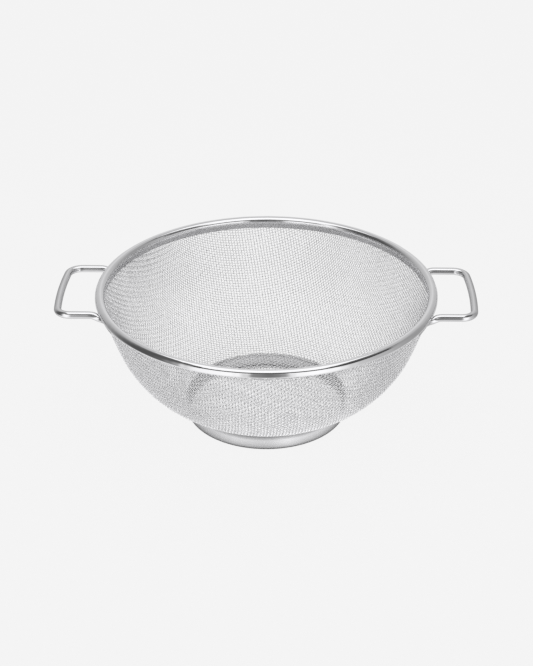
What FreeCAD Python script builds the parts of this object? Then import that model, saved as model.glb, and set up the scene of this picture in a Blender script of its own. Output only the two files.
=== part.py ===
import FreeCAD, Part
import math
import os
import Sketcher

# Two-handled wire-mesh strainer (colander) on a foot ring.
#
# Frame: millimetres, +Z up. The origin is on the bowl's axis in the plane the
# foot ring rests on. +X runs through the right handle, -X through the left one,
# and -Y is the side a user faces.
#
# Pieces:
#   rim_band      strip of sheet steel rolled into an open bead over the mesh edge
#   rim_core_hoop wire hoop inside the bead, which pins the mesh edge in it
#   mesh_bowl     woven wire cloth pressed into a bowl, as a shell two wires thick
#   foot_ring     pressed sheet ring, flared at the top and turned in at the foot
#   left_handle   bent round wire loop, its two tails running under the bead
#   right_handle  the same wire loop, turned half a turn about the axis

OUT = "parts"
os.makedirs(OUT, exist_ok=True)

Vector = FreeCAD.Vector
doc = FreeCAD.newDocument("strainer")

# ---------------------------------------------------------------------------
# Dimensions: alias, value or formula, note. Names ending in _r are radii from
# the bowl's axis, names ending in _z are heights above the resting plane.
# ---------------------------------------------------------------------------
DRIVING = [
    # overall
    ("rim_radius", 120.0, "outer radius of the rolled rim"),
    ("rim_top", 99.5, "height of the rim's top above the resting plane"),
    # rim bead
    ("bead_width", 6.9, "radial width of the rolled bead"),
    ("band_sheet", 0.5, "sheet thickness of the rim band"),
    ("inner_leg_drop", 8.4, "inner leg's lower edge below the rim top"),
    ("inner_leg_lean", 0.98, "how far the inner leg leans outwards at its foot"),
    ("outer_leg_drop", 5.1, "outer leg's underside below the rim top"),
    ("curl_radius", 1.6, "outside radius of the turned-in lower edge"),
    ("curl_lip", 3.3, "distance of the turned-in edge from the outer radius"),
    # hoop
    ("hoop_wire", 2.3, "diameter of the wire hoop inside the bead"),
    ("hoop_radius", 118.18, "centre-line radius of the hoop"),
    ("hoop_drop", 3.3, "centre line of the hoop below the rim top"),
    # bowl, all on the cloth's outer face
    ("cloth_thick", 0.92, "thickness of the woven cloth, two wires"),
    ("cloth_top_r", 117.287, "radius of the cloth's upper edge"),
    ("cloth_top_z", 97.6, "height of the cloth's upper edge"),
    ("wall_start_r", 116.593, "radius where the curved wall starts"),
    ("wall_start_z", 94.880, "height where the curved wall starts"),
    ("wall_upper_r", 105.696, "radius where the upper and middle arcs join"),
    ("wall_upper_z", 60.682, "height where the upper and middle arcs join"),
    ("wall_lower_r", 78.693, "radius where the middle and lower arcs join"),
    ("wall_lower_z", 24.795, "height where the middle and lower arcs join"),
    ("wall_end_r", 58.6, "radius where the wall meets the crease"),
    ("wall_end_z", 11.99, "height where the wall meets the crease"),
    ("upper_bend", 305.816, "radius of the upper wall arc"),
    ("middle_bend", 81.861, "radius of the middle wall arc"),
    ("lower_bend", 147.833, "radius of the lower wall arc"),
    ("crease_bend", 12.0, "radius of the crease"),
    ("floor_crease_r", 52.99, "radius where the crease meets the floor"),
    ("floor_z", 10.60, "underside height of the flat mesh floor"),
    # foot
    ("foot_sheet", 0.5, "sheet thickness of the foot ring"),
    ("foot_radius", 58.0, "outer radius of the foot ring above its bend"),
    ("foot_bend", 1.4, "outside radius of the foot's lower bend"),
    ("foot_lip_r", 55.2, "inner radius of the turned-in resting lip"),
    ("foot_waist_r", 57.3, "outer radius at the waist"),
    ("foot_waist_z", 7.36, "height of the waist"),
    ("foot_flare_bend", 8.0, "radius of the flare, outside face"),
    ("foot_flare_angle", 30.0, "how far the flare turns from upright"),
    # handles
    ("handle_wire", 5.0, "diameter of the handle wire"),
    ("handle_reach", 144.7, "centre line of the grip bar at mid length"),
    ("handle_bow", 300.0, "radius of the grip bar's slight outward bow"),
    ("handle_corner", 9.5, "centre-line radius of the two outer corners"),
    ("handle_half", 35.5, "half the spacing of the two legs"),
    ("handle_root_bend", 7.0, "centre-line radius of the bend at the rim"),
    ("handle_drop", 5.4, "loop's centre line below the rim top"),
    ("tail_radius", 118.45, "centre-line radius where the tail starts, still round"),
    ("tail_drop", 7.8, "centre line there, below the rim top"),
    ("tail_angle", 29.0, "angle from the handle's axis to the tail's end"),
    ("dip_radius", 124.8, "radius inside which the leg dips to the tail"),
    ("press_start", 16.2, "angle from the handle's axis where the pressing starts"),
    ("press_end", 21.5, "angle where the tail is fully pressed"),
    ("pressed_radius", 117.1, "centre-line radius of the pressed tail"),
    ("pressed_drop", 7.1, "centre line of the pressed tail below the rim top"),
    ("pressed_thick", 2.0, "radial thickness of the pressed tail"),
    ("pressed_height", 3.8, "height of the pressed tail"),
]
DERIVED = [
    # rim bead, outside face of the roll and the face inside it
    ("bead_half", "=bead_width/2", "outside radius of the bead's crown"),
    ("bead_half_inside", "=bead_half-band_sheet", "inside radius of the crown"),
    ("bead_mid_r", "=rim_radius-bead_half", "middle of the bead"),
    ("bead_inner_r", "=rim_radius-bead_width", "inner side of the bead"),
    ("inner_inside_r", "=bead_inner_r+band_sheet", "its face inside the roll"),
    ("outer_inside_r", "=rim_radius-band_sheet", "outer side's face inside the roll"),
    ("shoulder_z", "=rim_top-bead_half", "where the crown meets the legs"),
    ("crown_inside_z", "=rim_top-band_sheet", "crown's face inside the roll"),
    ("leg_foot_r", "=bead_inner_r+inner_leg_lean", "inner leg's foot"),
    ("leg_foot_inside_r", "=leg_foot_r+band_sheet", "its face inside the roll"),
    ("leg_foot_z", "=rim_top-inner_leg_drop", "inner leg's foot"),
    ("curl_inside", "=curl_radius-band_sheet", "inside radius of the lower curl"),
    ("curl_r", "=rim_radius-curl_radius", "where the curl meets the lip"),
    ("curl_lip_r", "=rim_radius-curl_lip", "edge of the lip"),
    ("lip_z", "=rim_top-outer_leg_drop", "underside of the lip"),
    ("lip_inside_z", "=lip_z+band_sheet", "upper side of the lip"),
    ("curl_z", "=lip_z+curl_radius", "where the curl meets the outer leg"),
    # bowl, inner face
    ("floor_top_z", "=floor_z+cloth_thick", "upper side of the floor"),
    ("upper_bend_in", "=upper_bend-cloth_thick", "upper wall arc, inner face"),
    ("middle_bend_in", "=middle_bend-cloth_thick", "middle wall arc, inner face"),
    ("lower_bend_in", "=lower_bend-cloth_thick", "lower wall arc, inner face"),
    ("crease_bend_in", "=crease_bend-cloth_thick", "crease, inner face"),
    # foot
    ("foot_bend_r", "=foot_radius-foot_bend", "where the lip meets the bend"),
    ("foot_bend_in", "=foot_bend-foot_sheet", "inside radius of the lower bend"),
    ("foot_inside_r", "=foot_radius-foot_sheet", "inner face above the bend"),
    ("waist_inside_r", "=foot_waist_r-foot_sheet", "inner face at the waist"),
    ("flare_bend_in", "=foot_flare_bend+foot_sheet", "radius of the flare, inner face"),
    ("flare_r", "=foot_waist_r+foot_flare_bend*(1-cos(foot_flare_angle*1deg))",
     "top of the flare, outside face"),
    ("flare_z", "=foot_waist_z+foot_flare_bend*sin(foot_flare_angle*1deg)",
     "top of the flare, outside face"),
    ("flare_inside_r", "=flare_r-foot_sheet*cos(foot_flare_angle*1deg)",
     "top of the flare, inner face"),
    ("flare_inside_z", "=flare_z+foot_sheet*sin(foot_flare_angle*1deg)",
     "top of the flare, inner face"),
]

sheet = doc.addObject("Spreadsheet::Sheet", "Sizes")


def add_sizes(rows, first_row):
    for row, (alias, content, note) in enumerate(rows, start=first_row):
        sheet.set("A%d" % row, note)
        sheet.set("B%d" % row, str(content))
        sheet.setAlias("B%d" % row, alias)
    doc.recompute()


add_sizes(DRIVING, 1)
add_sizes(DERIVED, len(DRIVING) + 1)


def dim(alias):
    return float(getattr(sheet, alias))


def cell(alias):
    return "Sizes." + alias


# ---------------------------------------------------------------------------
# Turned sections
# ---------------------------------------------------------------------------
ANTICLOCKWISE, CLOCKWISE = 1, -1


def arc_centre(start, end, radius, sense):
    """Centre of the arc of less than half a turn from start to end."""
    dx, dy = end[0] - start[0], end[1] - start[1]
    chord = math.hypot(dx, dy)
    rise = math.sqrt(radius * radius - chord * chord / 4.0)
    return ((start[0] + end[0]) / 2.0 - sense * dy / chord * rise,
            (start[1] + end[1]) / 2.0 + sense * dx / chord * rise)


def arc_between(start, end, radius, sense):
    """The arc, then the sketch's numbers for its ends at start and at end."""
    centre_x, centre_y = arc_centre(start, end, radius, sense)
    low, high = [math.atan2(y - centre_y, x - centre_x) for x, y in (start, end)][::sense]
    while high <= low:
        high += 2 * math.pi
    circle = Part.Circle(Vector(centre_x, centre_y, 0), Vector(0, 0, 1), radius)
    first, last = (1, 2)[::sense]
    return Part.ArcOfCircle(circle, low, high), first, last


def constrain(sketch, expression, *constraint):
    number = sketch.addConstraint(Sketcher.Constraint(*constraint))
    sketch.setExpression("Constraints[%d]" % number, expression)


def draw_section(sketch, corners, edges):
    """Closed section in (radius, height). corners: name -> (radius alias, height
    alias), where None puts the corner on that axis. edges: (from, to) for a line,
    or (from, to, radius alias, sense) for an arc."""
    places = {name: [dim(alias) if alias else 0.0 for alias in pair]
              for name, pair in corners.items()}
    ends = []
    for edge in edges:
        start, end = places[edge[0]], places[edge[1]]
        if len(edge) == 2:
            curve, first, last = Part.LineSegment(Vector(*start, 0), Vector(*end, 0)), 1, 2
        else:
            curve, first, last = arc_between(start, end, dim(edge[2]), edge[3])
        ends.append((sketch.addGeometry(curve, False), first, last))
    for here, after in zip(ends, ends[1:] + ends[:1]):
        sketch.addConstraint(
            Sketcher.Constraint("Coincident", here[0], here[2], after[0], after[1]))
    for edge, (index, first, _) in zip(edges, ends):
        for kind, other_axis, alias, value in zip(
                ("DistanceX", "DistanceY"), (-2, -1), corners[edge[0]], places[edge[0]]):
            if alias is None:
                sketch.addConstraint(
                    Sketcher.Constraint("PointOnObject", index, first, other_axis))
            else:
                constrain(sketch, cell(alias), kind, -1, 1, index, first, value)
        if len(edge) > 2:
            constrain(sketch, cell(edge[2]), "Radius", index, dim(edge[2]))


def turned_body(label, sketch_name, turn_name, corners, edges):
    """Body made by turning a section in the XZ plane all the way about Z."""
    body = doc.addObject("PartDesign::Body", label)
    plane = next(item for item in body.Origin.OriginFeatures if item.Role == "XZ_Plane")
    sketch = body.newObject("Sketcher::SketchObject", sketch_name)
    sketch.AttachmentSupport = [(plane, "")]
    sketch.MapMode = "FlatFace"
    doc.recompute()
    draw_section(sketch, corners, edges)
    doc.recompute()
    turn = body.newObject("PartDesign::Revolution", turn_name)
    turn.Profile = sketch
    turn.ReferenceAxis = (sketch, ["V_Axis"])
    turn.Angle = 360.0
    turn.Reversed = False
    body.Tip = turn
    doc.recompute()
    return body


def make_rim_band():
    """Open roll of sheet. Its inner leg is the long one and lies against the
    inside of the cloth; its outer leg is turned in under the bead and stops
    just short of the cloth's outside."""
    corners = {
        # outside face, from the inner leg's foot up, over and down to the lip
        "leg_foot": ("leg_foot_r", "leg_foot_z"),
        "leg_top": ("bead_inner_r", "shoulder_z"),
        "crown": ("bead_mid_r", "rim_top"),
        "outer_top": ("rim_radius", "shoulder_z"),
        "outer_low": ("rim_radius", "curl_z"),
        "curl_end": ("curl_r", "lip_z"),
        "lip": ("curl_lip_r", "lip_z"),
        # face inside the roll, back the other way
        "lip_in": ("curl_lip_r", "lip_inside_z"),
        "curl_end_in": ("curl_r", "lip_inside_z"),
        "outer_low_in": ("outer_inside_r", "curl_z"),
        "outer_top_in": ("outer_inside_r", "shoulder_z"),
        "crown_in": ("bead_mid_r", "crown_inside_z"),
        "leg_top_in": ("inner_inside_r", "shoulder_z"),
        "leg_foot_in": ("leg_foot_inside_r", "leg_foot_z"),
    }
    edges = [
        ("leg_foot", "leg_top"),
        ("leg_top", "crown", "bead_half", CLOCKWISE),
        ("crown", "outer_top", "bead_half", CLOCKWISE),
        ("outer_top", "outer_low"),
        ("outer_low", "curl_end", "curl_radius", CLOCKWISE),
        ("curl_end", "lip"),
        ("lip", "lip_in"),
        ("lip_in", "curl_end_in"),
        ("curl_end_in", "outer_low_in", "curl_inside", ANTICLOCKWISE),
        ("outer_low_in", "outer_top_in"),
        ("outer_top_in", "crown_in", "bead_half_inside", ANTICLOCKWISE),
        ("crown_in", "leg_top_in", "bead_half_inside", ANTICLOCKWISE),
        ("leg_top_in", "leg_foot_in"),
        ("leg_foot_in", "leg_foot"),
    ]
    return turned_body("rim_band", "rim_section", "rim_roll", corners, edges)


def make_hoop():
    hoop = doc.addObject("Part::Torus", "rim_core_hoop")
    hoop.setExpression("Radius1", cell("hoop_radius"))
    hoop.setExpression("Radius2", "%s/2" % cell("hoop_wire"))
    hoop.setExpression("Placement.Base.z", "%s-%s" % (cell("rim_top"), cell("hoop_drop")))
    return hoop


def unit_vector(dx, dy):
    length = math.hypot(dx, dy)
    return dx / length, dy / length


def make_mesh_bowl():
    """Cloth of even thickness. Three tangent arcs make the wall and a crease
    turns it into the flat floor. The wall runs straight up into the bead."""
    names = ["cloth_top", "wall_start", "wall_upper", "wall_lower", "wall_end"]
    outer = [(dim(name + "_r"), dim(name + "_z")) for name in names]
    bends = ["upper_bend", "middle_bend", "lower_bend"]
    centres = [arc_centre(start, end, dim(bend), CLOCKWISE)
               for start, end, bend in zip(outer[1:], outer[2:], bends)]

    # direction from each outer corner to its partner on the inner face: square to
    # the straight stretch at the top, then towards the arcs' centres
    (top_r, top_z), (start_r, start_z) = outer[:2]
    steps = [unit_vector(start_z - top_z, top_r - start_r)]
    for point, centre in zip(outer[1:], centres + centres[-1:]):
        steps.append(unit_vector(centre[0] - point[0], centre[1] - point[1]))

    corners = {
        "crease": ("floor_crease_r", "floor_z"),
        "crease_in": ("floor_crease_r", "floor_top_z"),
        "axis": (None, "floor_z"),
        "axis_in": (None, "floor_top_z"),
    }
    inner_sizes = []
    for name, step in zip(names, steps):
        corners[name] = (name + "_r", name + "_z")
        corners[name + "_in"] = (name + "_in_r", name + "_in_z")
        for suffix, share in zip(("_r", "_z"), step):
            formula = "=%s%+.7f*cloth_thick" % (name + suffix, share)
            inner_sizes.append((name + "_in" + suffix, formula, "corner on the inner face"))
    add_sizes(inner_sizes, len(DRIVING) + len(DERIVED) + 1)

    edges = [
        ("axis", "crease"),
        ("crease", "wall_end", "crease_bend", ANTICLOCKWISE),
        ("wall_end", "wall_lower", "lower_bend", ANTICLOCKWISE),
        ("wall_lower", "wall_upper", "middle_bend", ANTICLOCKWISE),
        ("wall_upper", "wall_start", "upper_bend", ANTICLOCKWISE),
        ("wall_start", "cloth_top"),
        ("cloth_top", "cloth_top_in"),
        ("cloth_top_in", "wall_start_in"),
        ("wall_start_in", "wall_upper_in", "upper_bend_in", CLOCKWISE),
        ("wall_upper_in", "wall_lower_in", "middle_bend_in", CLOCKWISE),
        ("wall_lower_in", "wall_end_in", "lower_bend_in", CLOCKWISE),
        ("wall_end_in", "crease_in", "crease_bend_in", CLOCKWISE),
        ("crease_in", "axis_in"),
        ("axis_in", "axis"),
    ]
    return turned_body("mesh_bowl", "bowl_section", "bowl_turn", corners, edges)


def make_foot_ring():
    """Waisted band. Its top flares outwards under the cloth's crease and its
    foot is turned in to a narrow flat lip, which the strainer stands on."""
    corners = {
        "lip": ("foot_lip_r", None),
        "bend_low": ("foot_bend_r", None),
        "bend_out": ("foot_radius", "foot_bend"),
        "waist": ("foot_waist_r", "foot_waist_z"),
        "flare": ("flare_r", "flare_z"),
        "flare_in": ("flare_inside_r", "flare_inside_z"),
        "waist_in": ("waist_inside_r", "foot_waist_z"),
        "bend_in": ("foot_inside_r", "foot_bend"),
        "bend_up": ("foot_bend_r", "foot_sheet"),
        "lip_up": ("foot_lip_r", "foot_sheet"),
    }
    edges = [
        ("lip", "bend_low"),
        ("bend_low", "bend_out", "foot_bend", ANTICLOCKWISE),
        ("bend_out", "waist"),
        ("waist", "flare", "foot_flare_bend", CLOCKWISE),
        ("flare", "flare_in"),
        ("flare_in", "waist_in", "flare_bend_in", ANTICLOCKWISE),
        ("waist_in", "bend_in"),
        ("bend_in", "bend_up", "foot_bend_in", CLOCKWISE),
        ("bend_up", "lip_up"),
        ("lip_up", "lip"),
    ]
    return turned_body("foot_ring", "foot_section", "foot_turn", corners, edges)


# ---------------------------------------------------------------------------
# Handles: one length of round wire each, bent in two planes. In plan: a slightly
# bowed grip bar, two corners, two straight legs, a bend back along the rim, and
# a tail that follows the bead. Near the rim the legs dip and the wire is pressed
# thinner, so that the tails tuck under the bead, against the cloth.
# ---------------------------------------------------------------------------
# steps along each stretch of half a loop
BAR_STEPS, CORNER_STEPS, LEG_STEPS, ROOT_STEPS, TAIL_STEPS = 6, 8, 5, 8, 6
RING_POINTS = 16  # points around each wire section
VOLUME_TOLERANCE = 0.01  # share by which the lofted volume may be off


def arc_points(centre_x, centre_y, radius, start, stop, count):
    """Evenly spaced points from start on, without the one at stop."""
    angles = [start + (stop - start) * k / float(count) for k in range(count)]
    return [(centre_x + radius * math.cos(angle), centre_y + radius * math.sin(angle))
            for angle in angles]


def half_loop():
    """Plan points from the middle of the grip bar to the end of the +Y tail."""
    bow, corner, half = dim("handle_bow"), dim("handle_corner"), dim("handle_half")
    root, tail = dim("handle_root_bend"), dim("tail_radius")
    bar_centre = dim("handle_reach") - bow
    corner_y = half - corner
    corner_x = bar_centre + math.sqrt((bow - corner) ** 2 - corner_y ** 2)
    bar_end = math.asin(corner_y / (bow - corner))
    root_y = half + root
    root_x = math.sqrt((tail + root) ** 2 - root_y ** 2)
    tail_start = math.atan2(root_y, root_x)
    tail_end = math.radians(dim("tail_angle"))

    points = arc_points(bar_centre, 0.0, bow, 0.0, bar_end, BAR_STEPS)
    points += arc_points(corner_x, corner_y, corner, bar_end, math.pi / 2, CORNER_STEPS)
    points += [(corner_x + (root_x - corner_x) * k / float(LEG_STEPS), half)
               for k in range(LEG_STEPS)]
    points += arc_points(root_x, root_y, root, -math.pi / 2, tail_start - math.pi, ROOT_STEPS)
    points += arc_points(0.0, 0.0, tail, tail_start, tail_end, TAIL_STEPS)
    points.append((tail * math.cos(tail_end), tail * math.sin(tail_end)))
    return points


def ease(value, start, stop):
    """Smooth step from 0 at start to 1 at stop."""
    share = min(max((value - start) / (stop - start), 0.0), 1.0)
    return share * share * (3 - 2 * share)


def handle_stations():
    """Centre points along the wire, each with its section's half thickness
    across and half height."""
    half = half_loop()
    wire_half = dim("handle_wire") / 2.0
    tail_z = dim("rim_top") - dim("tail_drop")
    stations = []
    for x, y in [(x, -y) for x, y in reversed(half[1:])] + half:
        radius = math.hypot(x, y)
        # pressed is 0 where the wire is round and 1 along the flattened tail
        angle = math.degrees(math.atan2(abs(y), x))
        pressed = ease(angle, dim("press_start"), dim("press_end"))
        raised = ease(radius, dim("tail_radius"), dim("dip_radius"))
        scale = 1.0 - pressed * (dim("tail_radius") - dim("pressed_radius")) / radius
        z = (tail_z + (dim("tail_drop") - dim("handle_drop")) * raised
             + pressed * (dim("tail_drop") - dim("pressed_drop")))
        across = wire_half + pressed * (dim("pressed_thick") / 2.0 - wire_half)
        tall = wire_half + pressed * (dim("pressed_height") / 2.0 - wire_half)
        stations.append((Vector(x * scale, y * scale, z), across, tall))
    return stations


def make_handle(label, turn):
    # A wire bent in two planes has no single sketch plane, so its sections are set
    # square to a space curve and lofted. Each section keeps one axis level, so the
    # wire doesn't twist.
    stations = handle_stations()
    curve = Part.BSplineCurve()
    curve.interpolate([point for point, _, _ in stations])
    rings = []
    for point, across, tall in stations:
        along = curve.tangent(curve.parameter(point))[0]
        level = along.cross(Vector(0, 0, 1)).normalize()
        rise = level.cross(along).normalize()
        angles = [2 * math.pi * k / RING_POINTS for k in range(RING_POINTS)]
        ring = Part.BSplineCurve()
        ring.interpolate(
            [point + level * (across * math.cos(angle)) + rise * (tall * math.sin(angle))
             for angle in angles],
            PeriodicFlag=True)
        rings.append(Part.Wire([ring.toShape()]))
    handle = doc.addObject("Part::Feature", label)
    handle.Shape = Part.makeLoft(rings, True, False)
    handle.Placement = FreeCAD.Placement(
        Vector(0, 0, 0), FreeCAD.Rotation(Vector(0, 0, 1), turn))

    # the lofted volume is the section's area summed along the wire
    expected = 0.0
    for (point, across, tall), (after, across_after, tall_after) in zip(
            stations, stations[1:]):
        area = math.pi * (across * tall + across_after * tall_after) / 2.0
        expected += area * point.distanceToPoint(after)
    volume = handle.Shape.Volume
    if abs(volume / expected - 1.0) > VOLUME_TOLERANCE:
        raise RuntimeError("%s: volume %.1f, expected %.1f" % (label, volume, expected))
    return handle


# ---------------------------------------------------------------------------
# Build, check, and write one STEP file per piece
# ---------------------------------------------------------------------------
pieces = [
    make_rim_band(),
    make_hoop(),
    make_mesh_bowl(),
    make_foot_ring(),
    make_handle("right_handle", 0),
    make_handle("left_handle", 180),
]
doc.recompute()
for item in doc.Objects:
    if "Invalid" in item.State or "Error" in item.State:
        raise RuntimeError("%s is %s" % (item.Label, item.State))
for piece in pieces:
    shape = piece.Shape
    if shape.isNull() or not shape.isValid() or not shape.Solids:
        raise RuntimeError("bad shape: " + piece.Label)
for piece in pieces:
    piece.Shape.exportStep(os.path.join(OUT, piece.Label + ".step"))
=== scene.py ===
"""A round strainer of woven steel wire: a cloth bowl hung in a rolled rim, standing
on a turned foot band, with a bent wire handle on either side.

The axis is Z and the table is z = 0. The handles reach out along -X (left) and +X
(right); the camera looks from the front, -Y. Pieces are sized in millimetres and
scaled to metres as their meshes are made; the studio and the shaders are in metres.
"""
import math

import bpy
import numpy as np
from mathutils import Matrix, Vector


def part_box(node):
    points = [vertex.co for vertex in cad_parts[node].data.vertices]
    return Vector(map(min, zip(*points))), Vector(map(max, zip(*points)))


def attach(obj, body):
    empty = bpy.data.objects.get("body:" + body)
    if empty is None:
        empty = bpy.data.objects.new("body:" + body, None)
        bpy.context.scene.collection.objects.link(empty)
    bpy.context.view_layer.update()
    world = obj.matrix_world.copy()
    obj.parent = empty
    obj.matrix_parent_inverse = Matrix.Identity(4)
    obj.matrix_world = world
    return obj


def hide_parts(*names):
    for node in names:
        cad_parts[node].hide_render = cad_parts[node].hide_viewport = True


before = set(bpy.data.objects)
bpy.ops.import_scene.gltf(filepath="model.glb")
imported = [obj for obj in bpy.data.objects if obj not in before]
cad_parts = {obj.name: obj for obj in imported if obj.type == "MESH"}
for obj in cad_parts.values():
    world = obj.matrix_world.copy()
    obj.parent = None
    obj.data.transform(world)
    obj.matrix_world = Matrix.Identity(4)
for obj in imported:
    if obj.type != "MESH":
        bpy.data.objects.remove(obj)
scene = bpy.context.scene
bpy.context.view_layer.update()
MM = 0.001
RIM_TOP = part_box("rim_band")[1].z / MM


# ---------------------------------------------------------------------------
# Mesh tools
# ---------------------------------------------------------------------------
def add_object(name, data):
    obj = bpy.data.objects.new(name, data)
    scene.collection.objects.link(obj)
    return obj


def make_mesh(name, verts, quads, caps=()):
    """Smooth mesh object from vertices in millimetres, quads and end polygons."""
    verts = np.asarray(verts, np.float32) * MM
    totals = np.array([4] * len(quads) + [len(cap) for cap in caps])
    starts = np.cumsum(totals) - totals
    loops = np.concatenate([np.ravel(quads), *caps])
    mesh = bpy.data.meshes.new(name)
    mesh.vertices.add(len(verts))
    mesh.vertices.foreach_set("co", verts.ravel())
    mesh.loops.add(len(loops))
    mesh.loops.foreach_set("vertex_index", loops.astype(np.int32))
    mesh.polygons.add(len(starts))
    mesh.polygons.foreach_set("loop_start", starts.astype(np.int32))
    mesh.polygons.foreach_set("loop_total", totals.astype(np.int32))
    mesh.polygons.foreach_set("use_smooth", np.full(len(starts), True))
    mesh.update(calc_edges=True)
    mesh.validate()
    return add_object(name, mesh)


def tube_faces(rings, sides, base=0):
    """Quads and two end caps of a tube whose vertices start at index base."""
    row = np.arange(rings - 1)[:, None] * sides
    column = np.arange(sides)[None, :]
    here = row + column
    beside = row + (column + 1) % sides
    quads = np.stack([here, beside, beside + sides, here + sides], -1).reshape(-1, 4)
    ends = [np.arange(sides)[::-1], (rings - 1) * sides + np.arange(sides)]
    return quads + base, [end + base for end in ends]


def unit(vectors):
    return vectors / np.linalg.norm(vectors, axis=-1, keepdims=True)


def tangents(points):
    return unit(np.gradient(points, axis=0))


def smooth_step(value, start, end):
    t = np.clip((value - start) / (end - start), 0, 1)
    return t * t * (3 - 2 * t)


def arc(centre, radius, start, end, count):
    """Points of an arc, both ends included; angles in degrees."""
    return [(centre[0] + radius * math.cos(angle), centre[1] + radius * math.sin(angle))
            for angle in np.radians(np.linspace(start, end, count))]


def line(p, q, steps):
    """Points that divide p-q into equal steps, both ends left out."""
    return [(p[0] + (q[0] - p[0]) * k / steps, p[1] + (q[1] - p[1]) * k / steps)
            for k in range(1, steps)]


# ---------------------------------------------------------------------------
# Bowl surface: the mid-surface of the cloth as a curve of height over radius
# ---------------------------------------------------------------------------
# Outer face of the cloth from the neck down: (r, z), and the radius of the arc
# that leads on to the next point, None where the run is straight
BOWL_OUTLINE = [
    ((117.287, 97.6), None),       # straight neck
    ((116.593, 94.880), 305.816),
    ((105.696, 60.682), 81.861),
    ((78.693, 24.795), 147.833),
    ((58.6, 11.99), 12.0),         # crease
    ((52.99, 10.60), None),        # flat floor
    ((0.0, 10.60), None),
]
CLOTH_THICKNESS = 0.92
NECK_EXTENSION = 14  # carried on past the outline, so wires can be cut below its end


def inset_line(p, q):
    p, q = np.array(p), np.array(q)
    t = np.linspace(0, 1, 40)[:, None]
    along = unit(q - p)
    inward = np.array([along[1], -along[0]])
    return p * (1 - t) + q * t + inward * CLOTH_THICKNESS / 2


def inset_arc(p, q, radius):
    """Arc from p down and inwards to q, centred inside the bowl."""
    dx, dy = q[0] - p[0], q[1] - p[1]
    chord = math.hypot(dx, dy)
    rise = math.sqrt(radius * radius - chord * chord / 4)
    centre = ((p[0] + q[0]) / 2 + dy / chord * rise, (p[1] + q[1]) / 2 - dx / chord * rise)
    start = math.atan2(p[1] - centre[1], p[0] - centre[0])
    end = math.atan2(q[1] - centre[1], q[0] - centre[0])
    angle = np.linspace(start, end, 160)
    points = np.stack([centre[0] + radius * np.cos(angle),
                       centre[1] + radius * np.sin(angle)], 1)
    return points + unit(np.array(centre) - points) * CLOTH_THICKNESS / 2


def bowl_curve():
    """(r, z) of the mid-surface, from the axis out and up past the rim."""
    parts = []
    for (p, radius), (q, _) in zip(BOWL_OUTLINE, BOWL_OUTLINE[1:]):
        parts.append(inset_line(p, q) if radius is None else inset_arc(p, q, radius))
    curve = np.vstack(parts)[::-1]
    along = unit(curve[-1] - curve[-20])
    extension = np.outer(np.linspace(0.2, NECK_EXTENSION, 60), along)
    curve = np.vstack([curve, curve[-1] + extension])
    # height is looked up by radius, so the radius must always grow
    keep = [0]
    for k in range(1, len(curve)):
        if curve[k, 0] > curve[keep[-1], 0] + 1e-6:
            keep.append(k)
    return curve[keep]


BOWL_R, BOWL_Z = bowl_curve().T
BOWL_LENGTH = np.concatenate([[0], np.cumsum(np.hypot(np.diff(BOWL_R), np.diff(BOWL_Z)))])
BOWL_SLOPE = np.gradient(BOWL_Z, BOWL_R)


def height_at(r):
    return np.interp(r, BOWL_R, BOWL_Z)


def surface_gradient(points):
    """Gradient of z - height_at(r), which points up and out of the surface."""
    r = np.hypot(points[..., 0], points[..., 1])
    slope = np.interp(r, BOWL_R, BOWL_SLOPE)
    safe_r = np.maximum(r, 1e-6)
    return np.stack([-slope * points[..., 0] / safe_r, -slope * points[..., 1] / safe_r,
                     np.ones_like(r)], -1)


# ---------------------------------------------------------------------------
# Woven cloth: a net of equal cells laid over the bowl, as cloth drapes. The cells
# keep their lengths along the two thread directions and shear between them.
# Four main threads run out from the middle and divide the net into quarters.
# ---------------------------------------------------------------------------
PITCHES = [2.1885, 2.0021]  # between crossings on the even and the odd main threads
WIRE_RADIUS = 0.23
NET_TURN = math.radians(8.2256)  # of the first main thread from +X
# How far each main thread swings from a straight line down to the middle:
# degrees per 100 mm of thread, degrees per (100 mm) squared
SWINGS = [(2.6654, 0.0), (-1.1107, 4.2687), (-4.3536, 0.0), (-3.4237, 1.8634)]
SWING_END = 130.0   # thread length past which the swing stays as it is
THREAD_STEP = 0.25
REACH = 88          # crossings from the middle to each edge of the net
TOP_CUT = 97.0      # height the wires are cut at
SOLVE_LIMIT = 104   # no cell is laid on two crossings higher than this
SUBSTEPS = 4        # tube rings per cell
WIRE_SIDES = 6
PARTS_PER_FAMILY = 5


def main_thread(direction, swing, pitch):
    """Crossings along one of the four threads that start at the middle."""
    length = np.arange(0, REACH * pitch + 1, THREAD_STEP)
    hundreds = np.minimum(length, SWING_END) / 100.0
    lean = math.radians(swing[0]) * hundreds + math.radians(swing[1]) * hundreds * hundreds
    lean = (lean[1:] + lean[:-1]) / 2
    # distance from the middle, measured down the bowl's own curve
    out = np.concatenate([[0], np.cumsum(np.cos(lean) * THREAD_STEP)])
    r = np.interp(out, BOWL_LENGTH, BOWL_R)
    mean_r = np.maximum((r[1:] + r[:-1]) / 2, 1e-3)
    angle = direction + np.concatenate([[0], np.cumsum(np.sin(lean) * THREAD_STEP / mean_r)])
    at = np.arange(REACH + 1) * pitch
    r, angle, out = (np.interp(at, length, values) for values in (r, angle, out))
    points = np.stack([r * np.cos(angle), r * np.sin(angle), height_at(r)], 1)
    points[out > BOWL_LENGTH[-1] - 0.5] = np.nan
    return points


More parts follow.
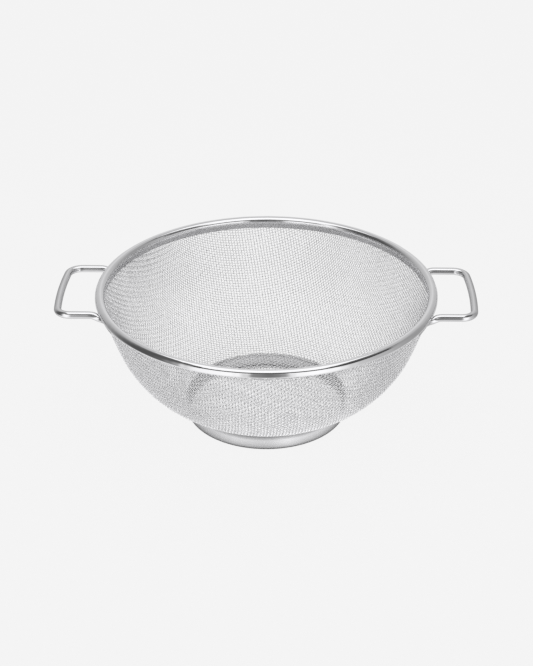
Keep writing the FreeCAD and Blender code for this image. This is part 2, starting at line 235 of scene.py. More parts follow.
def close_cells(a, b, corner, length_a, length_b):
    """Fourth corners of cells: on the bowl, at the given lengths from a and from b."""
    points = a + b - corner
    points[:, 2] = height_at(np.hypot(points[:, 0], points[:, 1]))
    for _ in range(6):  # Newton steps
        r = np.hypot(points[:, 0], points[:, 1])
        miss = np.stack([((points - a) ** 2).sum(1) - length_a ** 2,
                         ((points - b) ** 2).sum(1) - length_b ** 2,
                         points[:, 2] - height_at(r)], 1)
        jacobian = np.stack([2 * (points - a), 2 * (points - b), surface_gradient(points)], 1)
        singular = np.abs(np.linalg.det(jacobian)) < 1e-3
        jacobian[singular] += np.eye(3) * 0.3
        points = points - np.clip(np.linalg.solve(jacobian, miss[..., None])[..., 0], -1.0, 1.0)
    error = (np.abs(((points - a) ** 2).sum(1) - length_a ** 2)
             + np.abs(((points - b) ** 2).sum(1) - length_b ** 2))
    points[error > 0.08] = np.nan
    return points


def lay_net():
    """Grid of crossings, middle of the bowl at [REACH, REACH]; NaN where there are none."""
    pitch = np.array(PITCHES * 2)
    next_pitch = np.roll(pitch, -1)
    threads = [main_thread(NET_TURN + k * math.pi / 2, SWINGS[k], pitch[k]) for k in range(4)]
    quarters = np.full((4, REACH + 1, REACH + 1, 3), np.nan)
    for k in range(4):
        quarters[k, :, 0] = threads[k]
        quarters[k, 0, :] = threads[(k + 1) % 4]
    for diagonal in range(2, 2 * REACH + 1):
        i = np.arange(max(1, diagonal - REACH), min(REACH, diagonal - 1) + 1)
        j = diagonal - i
        a, b = quarters[:, i - 1, j], quarters[:, i, j - 1]
        corner = quarters[:, i - 1, j - 1]
        good = np.isfinite(a[..., 0]) & np.isfinite(b[..., 0]) & np.isfinite(corner[..., 0])
        good &= ~((a[..., 2] > SOLVE_LIMIT) & (b[..., 2] > SOLVE_LIMIT))
        if not good.any():
            continue
        length_a = np.broadcast_to(pitch[:, None], good.shape)[good]
        length_b = np.broadcast_to(next_pitch[:, None], good.shape)[good]
        block = np.full(a.shape, np.nan)
        block[good] = close_cells(a[good], b[good], corner[good], length_a, length_b)
        quarters[:, i, j] = block
    net = np.full((2 * REACH + 1, 2 * REACH + 1, 3), np.nan)
    i, j = np.meshgrid(np.arange(REACH + 1), np.arange(REACH + 1), indexing="ij")
    net[REACH + i, REACH + j] = quarters[0]
    net[REACH - j, REACH + i] = quarters[1]
    net[REACH - i, REACH - j] = quarters[2]
    net[REACH + j, REACH - i] = quarters[3]
    return net


def trim_wire(nodes, side):
    """The wire's crossings below the cut, with both ends brought up to it."""
    below = np.where(nodes[:, 2] <= TOP_CUT)[0]
    if len(below) < 2:
        return None
    span = slice(below[0], below[-1] + 1)
    nodes, side = nodes[span], side[span]
    if len(nodes) < 3 or not np.isfinite(nodes).all():
        return None
    # turned end for end twice: the first pass extends the start, the second the end
    for _ in range(2):
        nodes, side = nodes[::-1], side[::-1]
        step = nodes[-1] - nodes[-2]
        if step[2] <= 0.15:
            continue
        part = min(max((TOP_CUT - nodes[-1][2]) / step[2], 0.0), 1.0)
        if part > 0.08:
            tip = nodes[-1] + step * part
            # back on to the surface
            tip[:2] *= np.interp(tip[2], BOWL_Z, BOWL_R) / math.hypot(tip[0], tip[1])
            nodes = np.vstack([nodes, tip])
            side = np.concatenate([side, [side[-1] * (1 - 2 * part)]])
    return nodes, side


def wire_centre(nodes, side):
    """Smooth crimped centre line through a wire's crossings, and the cloth's normals.
    side is the face of the cloth (+1 or -1) the wire passes on at each crossing."""
    padded = np.vstack([2 * nodes[0] - nodes[1], nodes, 2 * nodes[-1] - nodes[-2]])
    t = np.arange(SUBSTEPS) / SUBSTEPS
    p0, p1, p2, p3 = padded[:-3], padded[1:-2], padded[2:-1], padded[3:]
    u = t[None, :, None]
    # Catmull-Rom spline
    curve = 0.5 * ((2 * p1)[:, None] + (p2 - p0)[:, None] * u
                   + (2 * p0 - 5 * p1 + 4 * p2 - p3)[:, None] * u ** 2
                   + (-p0 + 3 * p1 - 3 * p2 + p3)[:, None] * u ** 3)
    points = np.vstack([curve.reshape(-1, 3), nodes[-1:]])
    crimp = np.repeat(side[:-1], SUBSTEPS) * np.tile(np.cos(math.pi * t), len(nodes) - 1)
    crimp = np.concatenate([crimp, side[-1:]])
    normals = unit(surface_gradient(points))
    return points + normals * (crimp * WIRE_RADIUS)[:, None], normals


def wire_rings(points, normals):
    along = tangents(points)
    across = unit(normals - (normals * along).sum(1, keepdims=True) * along)
    other = np.cross(along, across)
    angle = ((np.arange(WIRE_SIDES) + 0.5) * 2 * math.pi / WIRE_SIDES)[None, :, None]
    rings = points[:, None] + WIRE_RADIUS * (np.cos(angle) * across[:, None]
                                             + np.sin(angle) * other[:, None])
    return rings.reshape(-1, 3)


def share_out(wires):
    """Splits the wires, in order, into parts with about as many crossings each."""
    target = sum(len(nodes) for nodes, _ in wires) / PARTS_PER_FAMILY
    parts = [[]]
    placed = 0
    for wire in wires:
        if placed > target * len(parts) and len(parts) < PARTS_PER_FAMILY:
            parts.append([])
        parts[-1].append(wire)
        placed += len(wire[0])
    return parts


def build_wires(name, wires, material):
    verts, quads, caps = [], [], []
    base = 0
    for nodes, side in wires:
        points, normals = wire_centre(nodes, side)
        verts.append(wire_rings(points, normals))
        wire_quads, wire_caps = tube_faces(len(points), WIRE_SIDES, base)
        quads.append(wire_quads)
        caps += wire_caps
        base += len(points) * WIRE_SIDES
    obj = make_mesh(name, np.vstack(verts), np.vstack(quads), caps)
    obj.data.materials.append(material)
    return obj


def build_cloth(material):
    net = lay_net()
    index = np.arange(2 * REACH + 1)
    # plain weave: each wire changes face at every crossing
    weave = (np.add.outer(index, index) % 2) * 2.0 - 1
    pieces = []
    for name, rows, sides in (("warp_wires", net.swapaxes(0, 1), weave),
                              ("weft_wires", net, -weave)):
        trimmed = [trim_wire(nodes, side) for nodes, side in zip(rows, sides)]
        wires = [wire for wire in trimmed if wire is not None]
        for number, part in enumerate(share_out(wires), 1):
            pieces.append(build_wires("%s_%d" % (name, number), part, material))
    return pieces


# ---------------------------------------------------------------------------
# Turned sheet pieces
# ---------------------------------------------------------------------------
def revolve(name, section, segments, wobble=None):
    """Turns a closed loop of (r, z) about the axis."""
    section = np.asarray(section, float)
    angle = (np.arange(segments) * 2 * math.pi / segments)[:, None]
    r = section[:, 0][None, :] + 0 * angle
    z = section[:, 1][None, :] + 0 * angle
    if wobble is not None:
        dr, dz = wobble(angle, r, z)
        r, z = r + dr, z + dz
    verts = np.stack([r * np.cos(angle), r * np.sin(angle), z], -1).reshape(-1, 3)
    count = len(section)
    row = np.arange(segments)[:, None]
    next_row = (row + 1) % segments
    column = np.arange(count)[None, :]
    next_column = (column + 1) % count
    quads = np.stack([row * count + column, next_row * count + column,
                      next_row * count + next_column, row * count + next_column],
                     -1).reshape(-1, 4)
    # faces look outward for an anticlockwise loop; a clockwise one is flipped
    across, up = section.T
    if np.sum(across * np.roll(up, -1) - np.roll(across, -1) * up) < 0:
        quads = quads[:, ::-1]
    return make_mesh(name, verts, quads)


def rim_section():
    """Sheet rolled over the top, with a straight leg inside the bowl and a skirt
    outside that bends back inwards at its lower edge."""
    outer, top, width, sheet = 120.0, 99.5, 6.9, 0.5
    edge = 0.12                                 # rounding of the sheet's cut edges
    roll = width / 2
    inner = outer - width
    leg_r, leg_z = inner + 0.98, top - 8.4      # lower end of the leg
    bend = 1.6
    hem_r, hem_z = outer - 3.3, top - 5.1       # cut edge and underside of the hem
    roll_centre = (outer - roll, top - roll)
    bend_centre = (outer - bend, hem_z + bend)
    leg_start = (leg_r + 0.02, leg_z + edge)
    leg_end = (leg_r + sheet, leg_z + edge)
    # outer skin: up the leg, over the roll, down the skirt, in along the hem
    points = [leg_start]
    points += line(leg_start, (inner, top - roll), 6)
    points += arc(roll_centre, roll, 180, 0, 33)
    points += arc(bend_centre, bend, 0, -90, 13)
    points += [(hem_r + edge, hem_z), (hem_r, hem_z + edge),
               (hem_r, hem_z + sheet - edge), (hem_r + edge, hem_z + sheet)]
    # inner skin, back the other way
    points += arc(bend_centre, bend - sheet, -90, 0, 9)
    points += arc(roll_centre, roll - sheet, 0, 180, 25)
    points += line((inner + sheet, top - roll), leg_end, 4)
    points += [leg_end, (leg_r + sheet - edge, leg_z), (leg_r + edge, leg_z)]
    return points


def rim_wobble(angle, r, z):
    """Very slight waves round the rim: a sum of random sines."""
    rng = np.random.default_rng(3)
    dr = 0.0 * angle * r
    for _ in range(26):
        waves = int(rng.integers(18, 150))
        height = rng.uniform(0.3, 1.0) * 0.55 / waves ** 0.95
        phase = rng.uniform(0, 2 * math.pi)
        tilt = rng.uniform(-1, 1)
        dr = dr + height * np.sin(waves * angle + phase) * (0.6 + 0.4 * tilt * (z - 96.0) / 3.5)
    return dr, dr * 0.35


def foot_section():
    """Resting lip turned inwards, wall drawn in to a waist, flared top."""
    sheet, edge = 0.5, 0.16
    lip_r, lip_flat_r = 55.2, 55.9      # lip's cut edge, and a point on its flat
    base_r, bend = 58.0, 1.4
    waist_r, waist_z = 57.3, 7.36
    flare, flare_angle = 8.0, 30.0
    bend_centre = (base_r - bend, bend)
    flare_centre = (waist_r + flare, waist_z)
    flare_end = 180 - flare_angle
    lean = math.radians(flare_angle)
    along_r, along_z = math.sin(lean), math.cos(lean)   # up the flare at its tip
    in_r, in_z = -math.cos(lean), math.sin(lean)        # through the sheet, inwards

    # outer skin
    points = [(lip_r, sheet - edge), (lip_r, edge), (lip_r + edge, 0.0), (lip_flat_r, 0.0)]
    points += arc(bend_centre, bend, -90, 0, 12)
    points += line((base_r, bend), (waist_r, waist_z), 8)
    points += arc(flare_centre, flare, 180, flare_end, 12)
    # rounded top edge
    tip_r, tip_z = points.pop()
    for through, down in ((0, edge), (edge, 0), (sheet - edge, 0), (sheet, edge)):
        points.append((tip_r + in_r * through - along_r * down,
                       tip_z + in_z * through - along_z * down))
    # inner skin
    points += arc(flare_centre, flare + sheet, flare_end, 180, 12)[1:]
    points += line((waist_r - sheet, waist_z), (base_r - sheet, bend), 8)
    points += arc(bend_centre, bend - sheet, 0, -90, 8)
    points += [(lip_flat_r, sheet), (lip_r + edge, sheet)]
    return points


def face_place(face):
    """Radius and height of a face's centre, and how far the face looks outward."""
    centre, normal = face.center, face.normal
    radius = math.hypot(centre.x, centre.y)
    return radius, centre.z, (normal.x * centre.x + normal.y * centre.y) / radius


def build_rim(body, leg):
    obj = revolve("rolled_rim", rim_section(), 1080, rim_wobble)
    for material in (body, leg):
        obj.data.materials.append(material)
    for face in obj.data.polygons:
        radius, height, outward = face_place(face)
        if height < 0.0953 and outward < 0 and radius < 0.1150:
            face.material_index = 1
    return obj


def build_foot(body, inside, lip, fold):
    obj = revolve("foot_band", foot_section(), 720)
    for material in (body, inside, lip, fold):
        obj.data.materials.append(material)
    for face in obj.data.polygons:
        radius, height, outward = face_place(face)
        inward = outward < -0.3
        if height < 0.0008 and (face.normal.z > 0.3 or inward):
            face.material_index = 2         # lip, painted highlight
        elif inward and height < 0.0023:
            face.material_index = 3         # fold just above the lip, painted shade
        elif inward and height < 0.0105:
            face.material_index = 1         # inside wall, painted shade that darkens towards the sides
        elif inward and abs(face.center.x) < 0.6 * radius:
            face.material_index = 2         # inside of the flare, at front and back: painted highlight
    return obj


# ---------------------------------------------------------------------------
# Handles: bent round wire, the tails pressed a little flat along the rim
# ---------------------------------------------------------------------------
TAIL_RADIUS = 118.45        # of the tails' centre line about the bowl's axis
PRESSED_RADIUS = 117.1      # the same where the tails are pressed flat


def half_handle_plan():
    """(x, y) of the centre line, from the middle of the grip to the end of a tail."""
    reach, half_width = 144.7, 35.5
    bow, corner, root = 300.0, 9.5, 7.0     # bend radii: grip, corner, root
    tail_end = math.radians(29.0)
    bow_x = reach - bow
    corner_y = half_width - corner
    corner_x = bow_x + math.sqrt((bow - corner) ** 2 - corner_y ** 2)
    bow_end = math.asin(corner_y / (bow - corner))
    root_y = half_width + root
    root_x = math.sqrt((TAIL_RADIUS + root) ** 2 - root_y ** 2)
    tail_start = math.atan2(root_y, root_x)

    def bend(x, y, radius, start, end, steps):
        angles = [start + (end - start) * k / steps for k in range(steps)]
        return [(x + radius * math.cos(a), y + radius * math.sin(a)) for a in angles]

    points = bend(bow_x, 0, bow, 0, bow_end, 22)
    points += bend(corner_x, corner_y, corner, bow_end, math.pi / 2, 22)
    points.append((corner_x, half_width))
    points += line((corner_x, half_width), (root_x, half_width), 20)
    points += bend(root_x, root_y, root, -math.pi / 2, -math.pi + tail_start, 20)
    points += bend(0, 0, TAIL_RADIUS, tail_start, tail_end, 18)
    points.append((TAIL_RADIUS * math.cos(tail_end), TAIL_RADIUS * math.sin(tail_end)))
    return points


def handle_dome(ring, centre, direction):
    """Shrinking rings that round off an end."""
    rings = []
    for k in range(1, 5):
        angle = k * math.pi / 2 / 4.6
        rings.append(centre + (ring - centre) * math.cos(angle)
                     + direction * (0.45 * math.sin(angle)))
    return rings


def build_handle(name, side, material):
    """side is -1 for the left handle and +1 for the right."""
    grip_z, tail_z, pressed_z = RIM_TOP - 5.4, RIM_TOP - 7.8, RIM_TOP - 7.1
    wire = 2.5                                  # radius of the round wire
    pressed_across, pressed_tall = 1.0, 1.9     # half sizes where it is pressed
    sides = 40
    half = half_handle_plan()
    plan = np.array([(x, -y) for x, y in reversed(half[1:])] + half)
    r = np.hypot(plan[:, 0], plan[:, 1])
    z = tail_z + (grip_z - tail_z) * smooth_step(r, TAIL_RADIUS, 124.8)
    # pressing sets in with the angle from the handle's middle, in degrees
    angle = np.degrees(np.arctan2(np.abs(plan[:, 1]), plan[:, 0]))
    pressed = smooth_step(angle, 16.2, 21.5)
    plan = plan * (1 - pressed * (TAIL_RADIUS - PRESSED_RADIUS) / r)[:, None]
    z = z + pressed * (pressed_z - tail_z)
    across = (wire + (pressed_across - wire) * pressed)[:, None, None]
    tall = (wire + (pressed_tall - wire) * pressed)[:, None, None]
    points = np.column_stack([plan, z])
    for _ in range(3):  # even out the joins between bends
        points[1:-1] = 0.25 * points[:-2] + 0.5 * points[1:-1] + 0.25 * points[2:]
    points[:, :2] *= side

    along = tangents(points)
    level = unit(np.cross(along, [0, 0, 1.0]))
    rise = np.cross(level, along)
    turn = (np.arange(sides) * 2 * math.pi / sides)[None, :, None]
    rings = (points[:, None] + across * np.cos(turn) * level[:, None]
             + tall * np.sin(turn) * rise[:, None])
    start = handle_dome(rings[0], points[0], -along[0])[::-1]
    end = handle_dome(rings[-1], points[-1], along[-1])
    rings = np.array(start + list(rings) + end)
    quads, caps = tube_faces(len(rings), sides)
    obj = make_mesh(name, rings.reshape(-1, 3), quads, caps)
    obj.data.materials.append(material)
    return obj


# ---------------------------------------------------------------------------
# Shader tools
# ---------------------------------------------------------------------------
def empty_tree(owner):
    owner.use_nodes = True
    owner.node_tree.nodes.clear()
    return owner.node_tree


def add_node(tree, kind, inputs=None, **settings):
    """New node; inputs maps a socket's name or number to a value or to a linked socket."""
    node = tree.nodes.new("ShaderNode" + kind)
    for key, value in settings.items():
        setattr(node, key, value)
    for key, value in (inputs or {}).items():
        if isinstance(value, bpy.types.NodeSocket):
            tree.links.new(value, node.inputs[key])
        else:
            node.inputs[key].default_value = value
    return node


def maths(tree, operation, *values):
    return add_node(tree, "Math", dict(enumerate(values)), operation=operation).outputs[0]


def vector_maths(tree, operation, *values):
    node = add_node(tree, "VectorMath", dict(enumerate(values)), operation=operation)
    return node.outputs["Value" if operation == "LENGTH" else 0]


def scale_vector(tree, vector, factor):
    return add_node(tree, "VectorMath", {0: vector, "Scale": factor},
                    operation="SCALE").outputs[0]


def map_range(tree, value, start, end, low=0.0, high=1.0, smooth=False):
    """Takes start..end to low..high, clamped."""
    node = add_node(tree, "MapRange", {
        "Value": value, "From Min": start, "From Max": end, "To Min": low, "To Max": high,
    }, interpolation_type="SMOOTHSTEP" if smooth else "LINEAR")
    return node.outputs[0]


def grey(value):
    return (value, value, value, 1)


def grey_ramp(tree, value, stops):
    """Colour ramp through (position, linear grey) stops."""
    node = add_node(tree, "ValToRGB", {0: value})
    elements = node.color_ramp.elements
    while len(elements) > 1:
        elements.remove(elements[-1])
    for k, (position, level) in enumerate(stops):
        element = elements[0] if k == 0 else elements.new(position)
        element.position = position
        element.color = grey(level)
    return node.outputs["Color"]


def round_stops(table, convert=float):
    """Ramp stops from a table of (azimuth in degrees, level)."""
    return [((azimuth + 180) / 360, convert(level)) for azimuth, level in table]


# ---------------------------------------------------------------------------
# Steels
# ---------------------------------------------------------------------------
def ring_grain(tree, position):
    """Coordinates (angle, radius, height) with the angle shrunk, so that the grain
    is drawn out round the axis."""
    x, y, z = add_node(tree, "SeparateXYZ", {0: position}).outputs
    angle = maths(tree, "MULTIPLY", maths(tree, "ARCTAN2", y, x), 0.004)
    flat = add_node(tree, "CombineXYZ", {0: x, 1: y}).outputs[0]
    radius = vector_maths(tree, "LENGTH", flat)
    return add_node(tree, "CombineXYZ", {0: angle, 1: radius, 2: z}).outputs[0]


def painted_flank_shade(tree, position):
    """Painted shade: the wire's tone falls towards its flanks, so they are darker than its
    crown.
    """
    facing = add_node(tree, "LayerWeight", {"Blend": 0.5}).outputs["Facing"]
    return map_range(tree, facing, 0.15, 0.85, low=1.0, high=0.45, smooth=True)


def painted_side_shade(tree, position):
    """Painted shade: tone falls to a tenth towards -X and +X."""
    flat = vector_maths(tree, "MULTIPLY", position, (1.0, 1.0, 0.0))
    direction = vector_maths(tree, "NORMALIZE", flat)
    y = add_node(tree, "SeparateXYZ", {0: direction}).outputs["Y"]
    return map_range(tree, maths(tree, "ABSOLUTE", y), 0.45, 0.95, low=0.10, smooth=True)


def steel(name, colour, roughness, spread, grain, bump=0.0, ring=False, metallic=1.0,
          edge_tint=1.0, painted_shade=None):
    """Steel with fine grain in roughness and bump and slow variation in tone.
    spread: roughness range either way; grain: noise scale; ring: grain runs round
    the axis; painted_shade: function that builds a factor on the tone, a painted shade."""
    material = bpy.data.materials.new(name)
    tree = empty_tree(material)
    position = add_node(tree, "TexCoord").outputs["Object"]
    fine = add_node(tree, "TexNoise", {
        "Scale": grain, "Detail": 4.0, "Roughness": 0.6,
        "Vector": ring_grain(tree, position) if ring else position,
    }).outputs["Fac"]
    slow = add_node(tree, "TexNoise", {
        "Scale": 55.0, "Detail": 2.0, "Vector": position}).outputs["Fac"]
    tone = scale_vector(tree, colour, map_range(tree, slow, 0.35, 0.65, low=0.97))
    # painted shade multiplied into the tone
    if painted_shade:
        tone = scale_vector(tree, tone, painted_shade(tree, position))
    inputs = {
        "Base Color": tone,
        "Metallic": metallic,
        "Roughness": map_range(tree, fine, 0.3, 0.7,
                               low=roughness - spread, high=roughness + spread),
        "Specular Tint": grey(edge_tint),
    }
    if bump > 0:
        inputs["Normal"] = add_node(tree, "Bump", {
            "Strength": bump, "Distance": 0.00005, "Height": fine}).outputs[0]
    surface = add_node(tree, "BsdfPrincipled", inputs)
    add_node(tree, "OutputMaterial", {0: surface.outputs[0]})
    return material


rim_steel = steel("rim_polished_steel", (0.74, 0.74, 0.75), roughness=0.05, spread=0.02,
                  grain=3500.0, bump=0.03, ring=True)
rim_leg_steel = steel("rim_leg_steel", (0.60, 0.60, 0.61), roughness=0.34, spread=0.04,
                      grain=3500.0, bump=0.03, ring=True)
handle_steel = steel("handle_polished_wire", (0.75, 0.75, 0.76), roughness=0.11, spread=0.03,
                     grain=2500.0, bump=0.06, edge_tint=0.45)
# Woven wire, with painted shade on the flanks of each wire
cloth_steel = steel("woven_bright_wire", (0.98, 0.98, 0.99), roughness=0.26, spread=0.04,
                    grain=1800.0, painted_shade=painted_flank_shade)
FOOT_GRAIN = {"spread": 0.05, "grain": 4000.0, "bump": 0.10, "ring": True}
foot_steel = steel("foot_satin_steel", (0.80, 0.80, 0.81), roughness=0.42, edge_tint=0.50,
                   **FOOT_GRAIN)
# Painted highlight: near-white, hardly metallic steel for the foot's lip and for the inside of
# its flare at front and back
foot_lip_painted_highlight = steel("foot_lip_painted_highlight", (0.98, 0.98, 0.98), roughness=0.60, metallic=0.1,
                       **FOOT_GRAIN)
# Painted shade: near-black band in the fold above the foot's lip
foot_fold_painted_shade = steel("foot_fold_painted_shade", (0.08, 0.08, 0.085), roughness=0.45, **FOOT_GRAIN)
# Inside of the foot: a darker copy of the foot steel, with painted shade towards the sides
foot_inside_painted_shade = steel("foot_inside_painted_shade", (0.76, 0.76, 0.77), roughness=0.40,
                          painted_shade=painted_side_shade, **FOOT_GRAIN)
hoop_steel = steel("hoop_plain_wire", (0.66, 0.66, 0.67), roughness=0.30, spread=0.05,
                   grain=2500.0, bump=0.05)


# ---------------------------------------------------------------------------
# Pieces
# ---------------------------------------------------------------------------
def fit(obj, node):
    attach(obj, "root")
    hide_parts(node)


for piece in build_cloth(cloth_steel):
    fit(piece, "mesh_bowl")
fit(build_rim(rim_steel, rim_leg_steel), "rim_band")
fit(build_foot(foot_steel, foot_inside_painted_shade, foot_lip_painted_highlight, foot_fold_painted_shade),
    "foot_ring")
for hand, side in (("left", -1), ("right", 1)):
    fit(build_handle("wire_handle_" + hand, side, handle_steel), hand + "_handle")

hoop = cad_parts["rim_core_hoop"]
hoop.data.materials.clear()
hoop.data.materials.append(hoop_steel)

# ---------------------------------------------------------------------------
# Studio, in metres. Levels are display greys, 0 to 255. What shows only in the
# metal is divided by the metal's own tone, so it comes out at its level there.
# Azimuths are degrees from the front (-Y), positive towards the right (+X).
# ---------------------------------------------------------------------------
METAL_TONE = 0.74
FLOOR_LEVEL = 244.0


def linear(level):
    value = level / 255.0
    return value / 12.92 if value <= 0.04045 else ((value + 0.055) / 1.055) ** 2.4


def in_metal(level):
    return linear(level) / METAL_TONE


def stage_quad(name, corners):
    mesh = bpy.data.meshes.new(name)
    mesh.from_pydata(corners, [], [(0, 1, 2, 3)])
    obj = add_object(name, mesh)
    return obj


def unsampled_material(name):
    """Material whose glow is not sampled as a lamp."""
    material = bpy.data.materials.new(name)
    material.cycles.emission_sampling = "NONE"
    return material, empty_tree(material)


# Floor as the metal sees it: (distance from the axis, level); the dim disc under the bowl and
# the darkest ring under the foot wall are painted shadow
FLOOR_NEAR = [(0.0, 205), (0.048, 200), (0.053, 165), (0.0565, 90), (0.0595, 90),
              (0.063, 160), (0.070, 224), (0.085, 240), (0.200, 240)]
FLOOR_NEAR_END = 0.200
# Strength of that by azimuth: painted shade at the front and a painted highlight streak front
# right
FLOOR_STREAK = [(-180, 1.0), (-36, 1.0), (-25, 1.0), (-14, 0.95), (-2, 0.92), (6, 0.98),
                (13, 1.20), (22, 1.18), (30, 1.0), (44, 1.0), (180, 1.0)]


def floor_in_metal(tree):
    """Glowing patch round the foot that fades to clear, with painted shadow under the bowl and
    the foot wall and a painted highlight streak.
    """
    position = add_node(tree, "NewGeometry").outputs["Position"]
    distance = vector_maths(tree, "LENGTH", position)
    colour = grey_ramp(tree, map_range(tree, distance, 0.0, FLOOR_NEAR_END),
                       [(r / FLOOR_NEAR_END, in_metal(level)) for r, level in FLOOR_NEAR])
    x, y, _ = add_node(tree, "SeparateXYZ", {0: position}).outputs
    azimuth = maths(tree, "ARCTAN2", x, maths(tree, "MULTIPLY", y, -1.0))
    strength = grey_ramp(tree, map_range(tree, azimuth, -math.pi, math.pi),
                         round_stops(FLOOR_STREAK))
    glow = add_node(tree, "Emission", {"Color": colour, "Strength": strength})
    clear = add_node(tree, "BsdfTransparent")
    fade = map_range(tree, distance, 0.080, 0.108, low=1.0, high=0.0, smooth=True)
    return add_node(tree, "MixShader", {0: fade, 1: clear.outputs[0],
                                        2: glow.outputs[0]}).outputs[0]


def build_floor():
    half = 30.0
    floor = stage_quad("floor", [(-half, -half, 0), (half, -half, 0),
                                 (half, half, 0), (-half, half, 0)])
    material, tree = unsampled_material("pale_floor")
    # to the camera: mostly its own glow, with a little diffuse to take a shadow
    glow = add_node(tree, "Emission", {"Color": grey(linear(FLOOR_LEVEL) - 0.030)})
    diffuse = add_node(tree, "BsdfDiffuse", {"Color": grey(0.045)})
    seen = add_node(tree, "AddShader", {0: glow.outputs[0], 1: diffuse.outputs[0]})
    to_camera = add_node(tree, "LightPath").outputs["Is Camera Ray"]
    pick = add_node(tree, "MixShader", {0: to_camera, 1: floor_in_metal(tree),
                                        2: seen.outputs[0]})
    add_node(tree, "OutputMaterial", {0: pick.outputs[0]})
    floor.data.materials.append(material)


def build_card(name, corners, level):
    """Flat card hidden from the camera: bright if lit, dark if not."""
    card = stage_quad(name, corners)
    card.visible_camera = False
    card.visible_shadow = False
    material, tree = unsampled_material(name)
    glow = add_node(tree, "Emission", {"Color": grey(in_metal(level))})
    add_node(tree, "OutputMaterial", {0: glow.outputs[0]})
    card.data.materials.append(material)


def build_beam(name, start, end, level):
    """Upright card from start to end, both (x, y), reaching up to the light's height."""
    build_card(name, [(*start, BEAM_Z), (*end, BEAM_Z), (*end, LIGHT_Z), (*start, LIGHT_Z)],
               level)


LIGHT_Z, LIGHT_FRONT, LIGHT_BACK, LIGHT_HALF_X = 0.607, -0.340, 0.260, 0.300
BEAM_Z = 0.372  # lower edge of the dark beams at the front and right
BEAM_LEFT, BEAM_CORNER, BEAM_RIGHT = (-0.42, -0.385), (0.42, -0.385), (0.60, -0.02)

build_floor()
build_card("overhead_light", [
    (-LIGHT_HALF_X, LIGHT_FRONT, LIGHT_Z), (LIGHT_HALF_X, LIGHT_FRONT, LIGHT_Z),
    (LIGHT_HALF_X, LIGHT_BACK, LIGHT_Z), (-LIGHT_HALF_X, LIGHT_BACK, LIGHT_Z)], level=254.0)
build_beam("front_beam", BEAM_LEFT, BEAM_CORNER, level=50.0)
build_beam("right_beam", BEAM_CORNER, BEAM_RIGHT, level=62.0)

# Room round the horizon: (azimuth, level). Two tall lights either side of a dark
# strip at the front, a darker room to the sides and a grey wall behind
ROOM_ROUND = [
    (-180, 212), (-165, 197), (-150, 187), (-135, 178), (-120, 157), (-105, 112),
    (-92, 80), (-78, 80), (-66, 95), (-57, 150), (-50, 222), (-42, 246), (-30, 250),
    (-18, 250), (-12, 215), (-8, 138), (-2, 122), (4, 112), (10, 132), (15, 200),
    (20, 248), (35, 254), (46, 246), (55, 215), (65, 192), (78, 178), (95, 160),
    (110, 150), (125, 160), (140, 182), (155, 187), (180, 212)]
# The same well below the horizon
ROOM_LOW = [
    (-180, 200), (-150, 200), (-120, 215), (-100, 226), (-80, 226), (-64, 230), (-54, 240),
    (-40, 246), (-28, 246), (-18, 225), (-10, 190), (-4, 165), (4, 156), (10, 168), (16, 205),
    (25, 242), (40, 248), (55, 236), (65, 215), (80, 202), (110, 200), (140, 200), (180, 200)]
STRAIGHT_DOWN = 222
CEILING, CEILING_BACK = 85, 185
# Elevation at which the ceiling starts, in degrees
CEILING_START, CEILING_START_FRONT = 41, 53


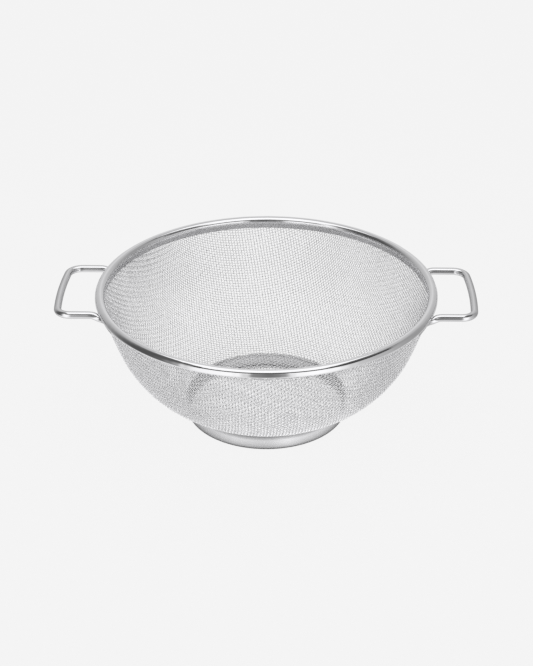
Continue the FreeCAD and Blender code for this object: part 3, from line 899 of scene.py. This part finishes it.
def build_world():
    world = bpy.data.worlds.new("studio")
    scene.world = world
    world.cycles.sampling_method = "NONE"
    tree = empty_tree(world)
    direction = add_node(tree, "TexCoord").outputs["Generated"]
    x, y, z = add_node(tree, "SeparateXYZ", {0: direction}).outputs
    azimuth = maths(tree, "ARCTAN2", x, maths(tree, "MULTIPLY", y, -1.0))
    # 0.5 is the front
    around = maths(tree, "ADD", maths(tree, "DIVIDE", azimuth, 2 * math.pi), 0.5)

    def blend(factor, a, b):
        return add_node(tree, "Mix", {0: factor, 2: a, 3: b}, data_type="FLOAT").outputs[0]

    def ease(value, start, end):
        return map_range(tree, value, start, end, smooth=True)

    def towards_front(start, end):
        """Eased cosine of the azimuth: 1 at the front, -1 at the back."""
        turn = maths(tree, "MULTIPLY", maths(tree, "SUBTRACT", around, 0.5), 2 * math.pi)
        return ease(maths(tree, "COSINE", turn), start, end)

    room = grey_ramp(tree, around, round_stops(ROOM_ROUND, linear))
    low = grey_ramp(tree, around, round_stops(ROOM_LOW, linear))
    low = blend(ease(z, -0.80, -0.95), low, linear(STRAIGHT_DOWN))
    room = blend(ease(z, -0.30, -0.70), room, low)
    ceiling = blend(towards_front(-0.2, -0.75), linear(CEILING), linear(CEILING_BACK))
    start = blend(towards_front(0.45, 0.75), math.sin(math.radians(CEILING_START)),
                  math.sin(math.radians(CEILING_START_FRONT)))
    above = ease(maths(tree, "SUBTRACT", z, start), -0.012, 0.012)
    reflected = maths(tree, "DIVIDE", blend(above, room, ceiling), METAL_TONE)
    to_camera = add_node(tree, "LightPath").outputs["Is Camera Ray"]
    level = blend(to_camera, reflected, linear(FLOOR_LEVEL))
    background = add_node(tree, "Background", {"Color": level})
    add_node(tree, "OutputWorld", {0: background.outputs[0]})


build_world()


# ---------------------------------------------------------------------------
# Camera: stands off from a point on the axis, then is turned slightly off it
# ---------------------------------------------------------------------------
def build_camera():
    distance = 1058.951
    elevation, azimuth = math.radians(29.662), math.radians(1.15)
    pan, tilt, roll = math.radians(-0.007), math.radians(-0.565), math.radians(-0.104)
    target = np.array([0, 0, RIM_TOP - 50.0])
    place = target + distance * np.array([math.sin(azimuth) * math.cos(elevation),
                                          -math.cos(azimuth) * math.cos(elevation),
                                          math.sin(elevation)])
    heading, dip = azimuth + pan, elevation + tilt
    forward = np.array([-math.sin(heading) * math.cos(dip),
                        math.cos(heading) * math.cos(dip), -math.sin(dip)])
    level = np.array([math.cos(heading), math.sin(heading), 0.0])
    upright = np.cross(level, forward)
    right = level * math.cos(roll) + upright * math.sin(roll)
    up = upright * math.cos(roll) - level * math.sin(roll)

    data = bpy.data.cameras.new("camera")
    data.sensor_width = 36.0
    data.lens = 79.61827
    data.clip_start = 0.01
    data.clip_end = 100.0
    camera = add_object("camera", data)
    rows = np.column_stack([right, up, -forward, place * MM])
    camera.matrix_world = Matrix([*rows.tolist(), [0, 0, 0, 1]])
    scene.camera = camera


build_camera()
scene.view_settings.view_transform = "Standard"
scene.view_settings.look = "None"
scene.cycles.use_denoising = False
scene.cycles.use_adaptive_sampling = False
